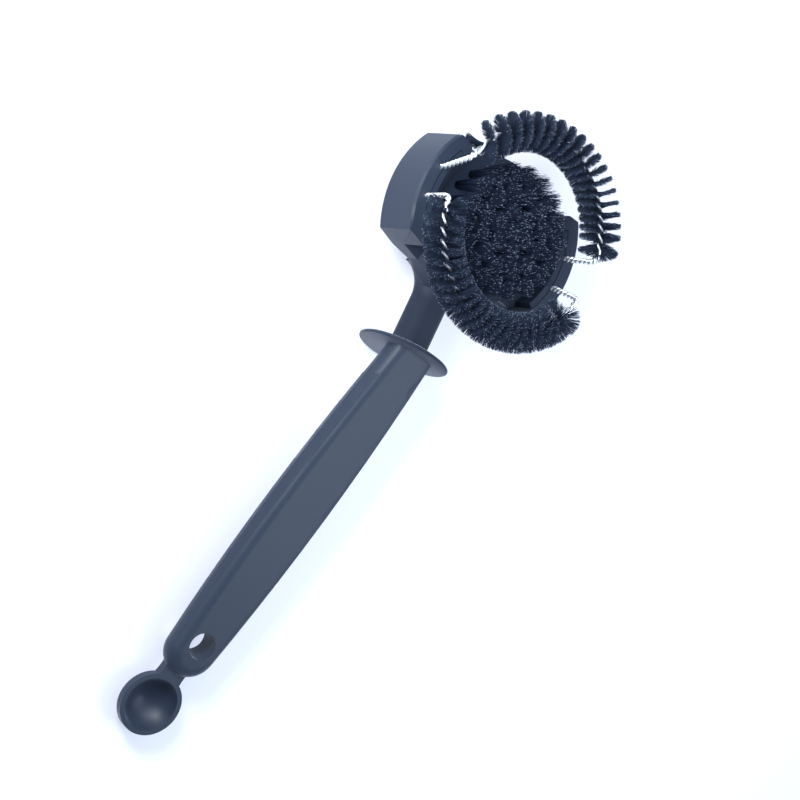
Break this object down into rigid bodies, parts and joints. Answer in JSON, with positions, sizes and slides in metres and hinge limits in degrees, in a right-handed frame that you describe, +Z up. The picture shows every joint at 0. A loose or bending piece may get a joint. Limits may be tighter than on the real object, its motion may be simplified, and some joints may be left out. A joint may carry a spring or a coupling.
{
  "type": "group head brush",
  "caption": "Hand brush for an espresso machine's brewing group: a tufted drum head with two arcs of twisted-in-wire bristle, splash guard, flat grip with hanging hole and a scoop",
  "frame": {"origin": "on the floor under the middle of the bounding box, with the brush lying on its back, the tufts pointing up", "axes": "+X from the scoop along the handle to the head, +Y to the left looking along +X, +Z up; the handle lies in the plane Y = 0"},
  "size_m": [0.2686, 0.082, 0.0548],
  "materials": {
    "black_moulding": "black moulded nylon, fine spark-eroded texture",
    "black_insert": "black moulded insert, smoother than the body",
    "nylon_bristle": "black nylon filament, slightly glossy, pale cut tips",
    "anchor_wire": "flat drawn steel wire",
    "twisted_steel": "bright drawn stainless wire, two strands twisted"
  },
  "bodies": {
    "root": {"handle_body": "black_moulding", "tuft_plate": "black_insert", "wire_clamp_left": "black_insert", "wire_clamp_right": "black_insert", "tuft_01": "nylon_bristle", "tuft_02": "nylon_bristle", "tuft_03": "nylon_bristle", "tuft_04": "nylon_bristle", "tuft_05": "nylon_bristle", "tuft_06": "nylon_bristle", "tuft_07": "nylon_bristle", "tuft_08": "nylon_bristle", "tuft_09": "nylon_bristle", "tuft_10": "nylon_bristle", "tuft_11": "nylon_bristle", "tuft_12": "nylon_bristle", "tuft_13": "nylon_bristle", "tuft_14": "nylon_bristle", "tuft_15": "nylon_bristle", "tuft_16": "nylon_bristle", "tuft_17": "nylon_bristle", "tuft_18": "nylon_bristle", "tuft_19": "nylon_bristle", "tuft_20": "nylon_bristle", "tuft_21": "nylon_bristle", "tuft_22": "nylon_bristle", "tuft_23": "nylon_bristle", "tuft_24": "nylon_bristle", "tuft_25": "nylon_bristle", "tuft_26": "nylon_bristle", "tuft_27": "nylon_bristle", "tuft_28": "nylon_bristle", "tuft_29": "nylon_bristle", "tuft_30": "nylon_bristle", "tuft_31": "nylon_bristle", "tuft_32": "nylon_bristle", "tuft_33": "nylon_bristle", "tuft_34": "nylon_bristle", "tuft_35": "nylon_bristle", "tuft_36": "nylon_bristle", "tuft_37": "nylon_bristle", "tuft_anchors": "anchor_wire", "far_wire": "twisted_steel", "near_wire": "twisted_steel", "far_bristles": "nylon_bristle", "near_bristles": "nylon_bristle"}
  },
  "joints": []
}
